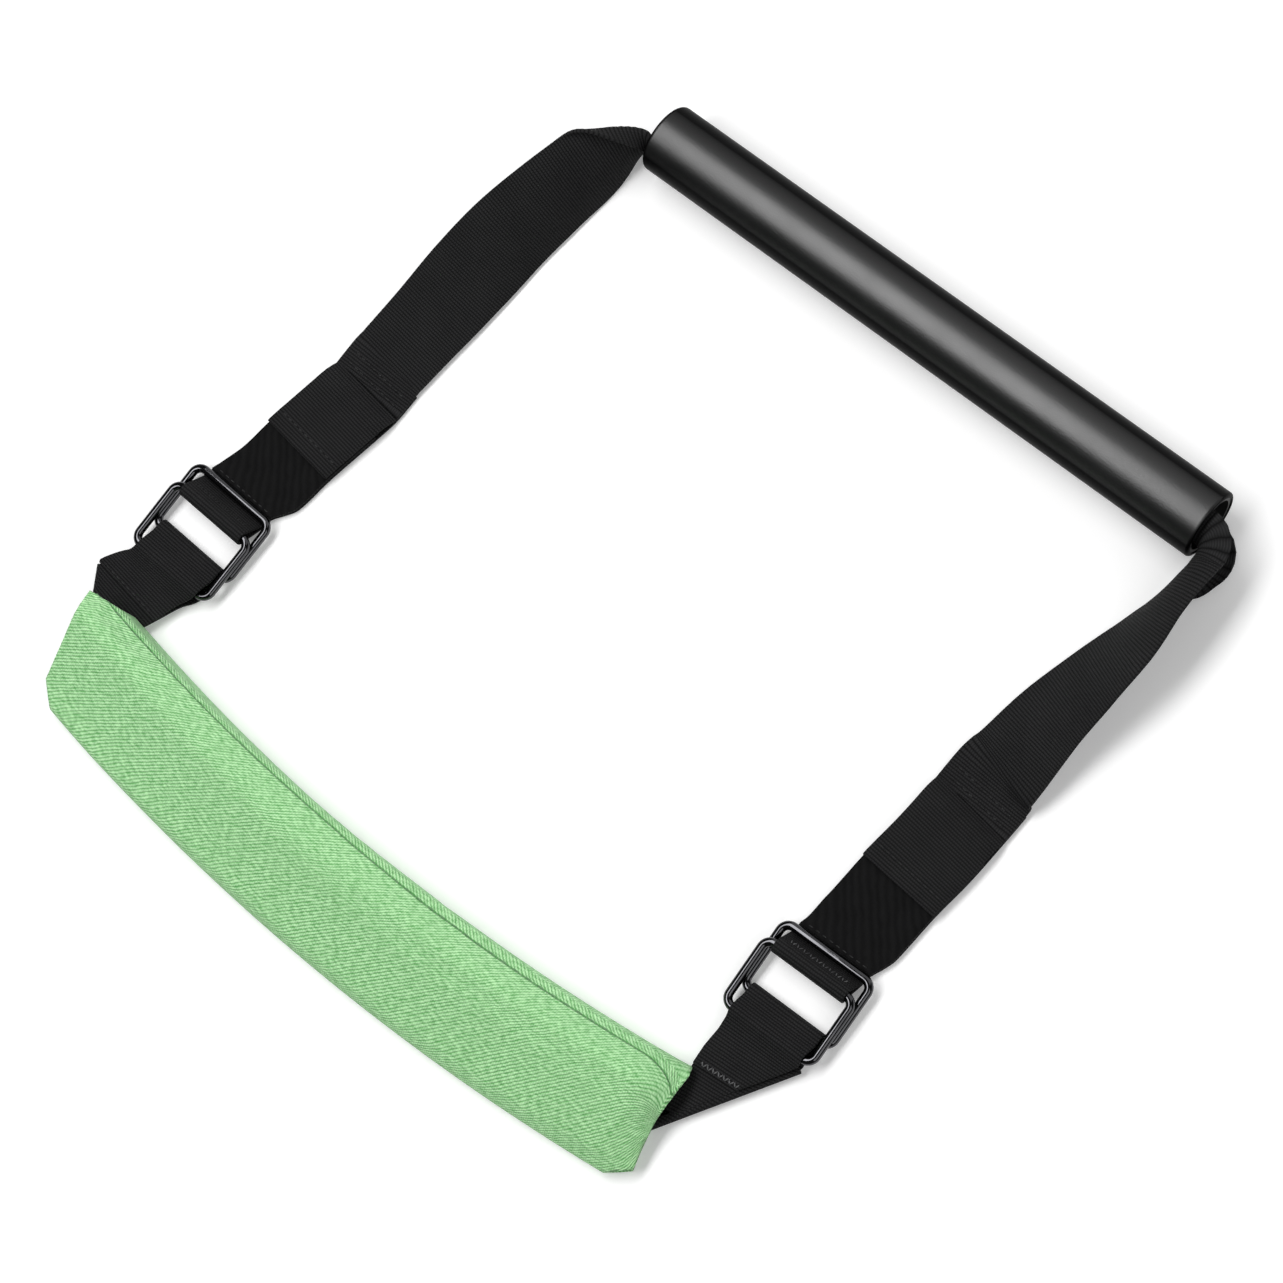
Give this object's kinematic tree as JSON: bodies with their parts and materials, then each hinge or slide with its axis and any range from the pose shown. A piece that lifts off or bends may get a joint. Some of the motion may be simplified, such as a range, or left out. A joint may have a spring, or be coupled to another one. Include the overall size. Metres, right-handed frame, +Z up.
{
  "type": "two-handed webbing pull loop",
  "caption": "Webbing loop with a tubular foam grip, double-ring buckles with hook-and-loop flaps, and a padded fabric sleeve, for shoulder and arm exercise.",
  "frame": {"origin": "middle of the footprint, on the surface that the loop lies on", "axes": "+X runs along the grip, +Y from the padded sleeve to the grip, +Z is up"},
  "size_m": [0.3931, 0.3752, 0.0326],
  "materials": {
    "pad_fabric": "matte",
    "pad_foam": "matte",
    "webbing": "matte",
    "loop_tape": "matte",
    "hook_tape": "satin",
    "ring_metal": "polished",
    "grip_foam": "satin",
    "core_plastic": "matte",
    "dark_thread": "matte",
    "green_thread": "matte"
  },
  "bodies": {
    "pad": {"pad_cover": "pad_fabric", "pad_foam": "pad_foam", "pad_webbing": "webbing", "pad_seam_thread": "green_thread", "left_tab": "webbing", "right_tab": "webbing", "left_tab_stitching": "dark_thread", "right_tab_stitching": "dark_thread"},
    "left_buckle": {"left_ring_a": "ring_metal", "left_ring_b": "ring_metal"},
    "right_buckle": {"right_ring_a": "ring_metal", "right_ring_b": "ring_metal"},
    "handle_frame": {"main_webbing": "webbing", "left_adjuster": "webbing", "right_adjuster": "webbing", "left_lap_stitching": "dark_thread", "right_lap_stitching": "dark_thread"},
    "grip": {"grip_foam": "grip_foam", "grip_core": "core_plastic"},
    "left_flap_body": {"left_flap": "webbing", "left_hook_tape": "hook_tape", "left_hem_stitching": "dark_thread"},
    "left_tail_body": {"left_tail": "webbing", "left_loop_tape": "loop_tape", "left_tail_stitching": "dark_thread"},
    "right_flap_body": {"right_flap": "webbing", "right_hook_tape": "hook_tape", "right_hem_stitching": "dark_thread"},
    "right_tail_body": {"right_tail": "webbing", "right_loop_tape": "loop_tape", "right_tail_stitching": "dark_thread"}
  },
  "joints": [
    {"name": "fold_left", "type": "hinge", "parent": "pad", "child": "left_buckle", "pos_m": [-0.16681, -0.09758, 0.0066], "axis": [0.9998, 0.0184, 0], "range_deg": [0, 130], "deforming": ["left_tab"]},
    {"name": "fold_right", "type": "hinge", "parent": "pad", "child": "right_buckle", "pos_m": [0.16052, -0.09158, 0.0066], "axis": [0.9998, 0.0184, 0], "range_deg": [0, 130], "deforming": ["right_tab"]},
    {"name": "loop_length", "type": "slide", "parent": "left_buckle", "child": "handle_frame", "axis": [0, 1, 0], "range_m": [-0.005, 0.02], "deforming": ["left_adjuster", "right_adjuster"]},
    {"name": "grip_spin", "type": "hinge", "parent": "handle_frame", "child": "grip", "pos_m": [0.03656, 0.17231, 0.01525], "axis": [1, 0, 0], "continuous": true},
    {"name": "left_flap_open", "type": "hinge", "parent": "handle_frame", "child": "left_flap_body", "pos_m": [-0.14734, 0.01381, 0.0029], "axis": [-0.9925, 0.1219, 0], "range_deg": [0, 140]},
    {"name": "right_flap_open", "type": "hinge", "parent": "handle_frame", "child": "right_flap_body", "pos_m": [0.16916, 0.02831, 0.0029], "axis": [-0.9925, 0.1219, 0], "range_deg": [0, 140]},
    {"name": "left_tail_feed", "type": "slide", "parent": "left_buckle", "child": "left_tail_body", "axis": [0.2379, 0.9713, 0], "range_m": [-0.02, 0.005], "deforming": ["left_tail", "left_loop_tape", "left_tail_stitching"]},
    {"name": "right_tail_feed", "type": "slide", "parent": "right_buckle", "child": "right_tail_body", "axis": [0.1119, 0.9937, 0], "range_m": [-0.02, 0.005], "deforming": ["right_tail", "right_loop_tape", "right_tail_stitching"]}
  ],
  "couplings": [
    {"joint": "fold_right", "follows": "fold_left", "ratio": 1},
    {"joint": "left_tail_feed", "follows": "loop_length", "ratio": -1},
    {"joint": "right_tail_feed", "follows": "loop_length", "ratio": -1}
  ]
}
